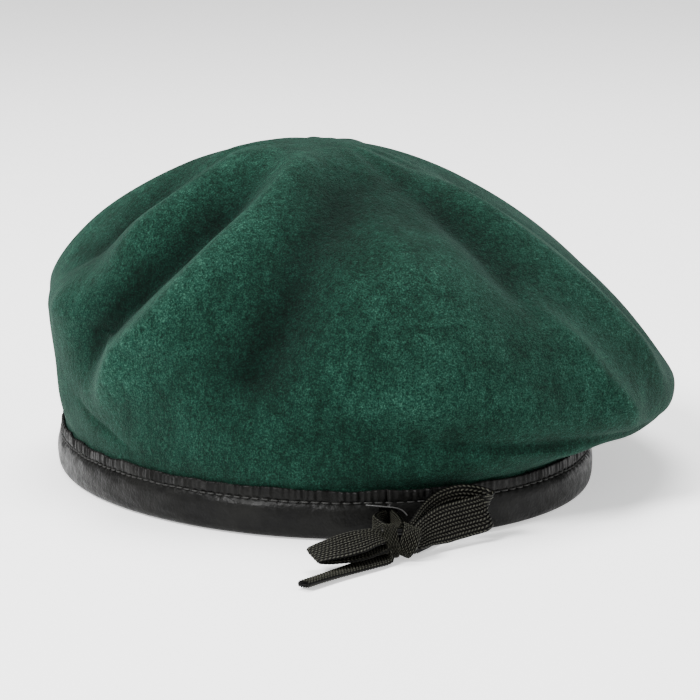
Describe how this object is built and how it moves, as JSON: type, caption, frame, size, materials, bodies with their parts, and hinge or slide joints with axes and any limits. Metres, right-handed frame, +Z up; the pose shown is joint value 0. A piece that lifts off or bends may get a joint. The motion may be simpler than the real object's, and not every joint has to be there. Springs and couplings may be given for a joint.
{
  "type": "beret",
  "caption": "Soft wool-felt beret pulled to the wearer's right, with a stitched leather binding, a lining and a drawstring tied in a bow at the back.",
  "frame": {"origin": "middle of the head opening, on the plane that the binding stands on", "axes": "+Z up through the crown, +Y towards the wearer's front, +X towards the wearer's right, the side the crown is pulled to"},
  "size_m": [0.2147, 0.2543, 0.113],
  "materials": {
    "felt": "brushed wool felt, dark green",
    "binding_leather": "thin black hat leather, soft sheen",
    "braid": "flat ribbed braid, black",
    "thread": "sewing thread, black",
    "lining": "satin lining, black",
    "board": "stiff buckram board, grey",
    "label": "woven tape, off-white, blank"
  },
  "bodies": {
    "hat": {"crown_felt": "felt", "binding": "binding_leather", "binding_needle_thread": "thread", "binding_bobbin_thread": "thread", "drawstring_run": "braid", "lining_top_panel": "lining", "lining_side_panel": "lining", "lining_seam_thread": "thread", "badge_stiffener": "board", "size_label": "label"},
    "bow": {"lace_lead_left": "braid", "lace_lead_right": "braid", "bow_knot": "braid", "bow_loop_left": "braid", "bow_loop_right": "braid", "lace_tail_left": "braid", "lace_tail_right": "braid"}
  },
  "joints": [
    {"name": "bow_lift", "type": "hinge", "parent": "hat", "child": "bow", "pos_m": [-0.0244, -0.1015, 0.012], "axis": [-0.667, 0.745, 0], "range_deg": [0, 45]}
  ]
}
